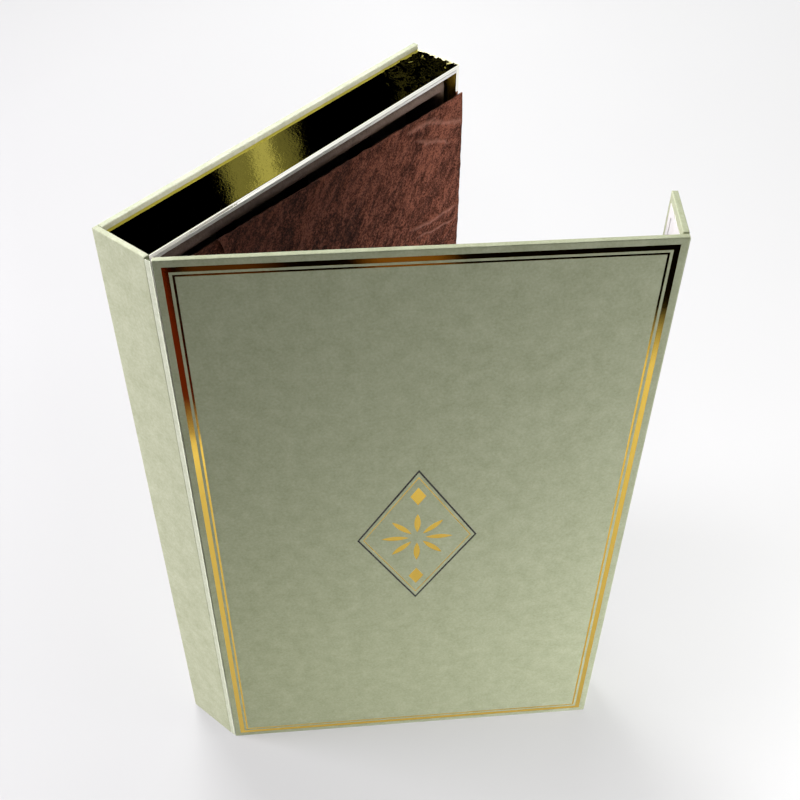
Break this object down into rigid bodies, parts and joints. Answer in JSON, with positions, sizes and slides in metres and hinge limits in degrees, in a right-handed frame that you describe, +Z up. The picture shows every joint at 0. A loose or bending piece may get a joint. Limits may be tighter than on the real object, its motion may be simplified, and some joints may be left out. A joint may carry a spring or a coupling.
{
  "type": "hinged gift box with fore flap",
  "caption": "Book-style rigid paper box standing open on its short end: hinged lid with a folding magnetic flap, gold foil tray, divided card insert and padded sheets.",
  "frame": {"origin": "on the floor, under the middle of the box as it stands open at rest", "axes": "+Z up along the long side, +X from the spine to the fore edge of the base panel, and the tray's mouth faces -Y, where the lid stands open"},
  "size_m": [0.1877, 0.1686, 0.32],
  "materials": {
    "cover_paper": "matt",
    "greyboard": "matt",
    "mirror_foil": "mirror gold foil paper",
    "gold_stamping": "bright hot-stamped foil",
    "black_stamping": "hot-stamped pigment foil",
    "white_card": "smooth",
    "taupe_card": "satin",
    "dark_card": "matt",
    "cocoa_pad": "embossed glassine",
    "magnet_steel": "nickel plated"
  },
  "bodies": {
    "base": {"base_wrap": "cover_paper", "spine_wrap": "cover_paper", "lid_hinge_paper": "cover_paper", "base_board": "greyboard", "spine_board": "greyboard", "tray_floor": "greyboard", "tray_spine_wall": "greyboard", "tray_fore_wall": "greyboard", "tray_head_wall": "greyboard", "tray_tail_wall": "greyboard", "tray_foil_wrap": "mirror_foil", "tray_lining": "white_card", "corner_stays": "white_card", "insert_collar": "taupe_card", "long_divider_1": "dark_card", "long_divider_2": "dark_card", "long_divider_3": "dark_card", "cross_divider_1": "dark_card", "cross_divider_2": "dark_card", "cross_divider_3": "dark_card", "cross_divider_4": "dark_card", "cross_divider_5": "dark_card", "cross_divider_6": "dark_card", "rear_pad": "cocoa_pad", "front_pad": "cocoa_pad", "keeper_discs": "magnet_steel"},
    "lid": {"lid_board": "greyboard", "lid_wrap": "cover_paper", "lid_liner": "white_card", "foil_border_band": "gold_stamping", "foil_border_line": "gold_stamping", "foil_ornament": "gold_stamping", "pigment_lozenge": "black_stamping"},
    "flap": {"flap_hinge_paper": "cover_paper", "flap_board": "greyboard", "flap_wrap": "cover_paper", "flap_liner": "white_card", "flap_magnets": "magnet_steel"}
  },
  "joints": [
    {"name": "lid_hinge", "type": "hinge", "parent": "base", "child": "lid", "pos_m": [-0.0938, 0.05319, 0.16], "axis": [0, 0, -1], "range_deg": [-46, 134], "deforming": ["lid_hinge_paper"]},
    {"name": "flap_hinge", "type": "hinge", "parent": "lid", "child": "flap", "pos_m": [0.03923, -0.08457, 0.16], "axis": [0, 0, -1], "range_deg": [-11, 84], "deforming": ["flap_hinge_paper"]}
  ]
}
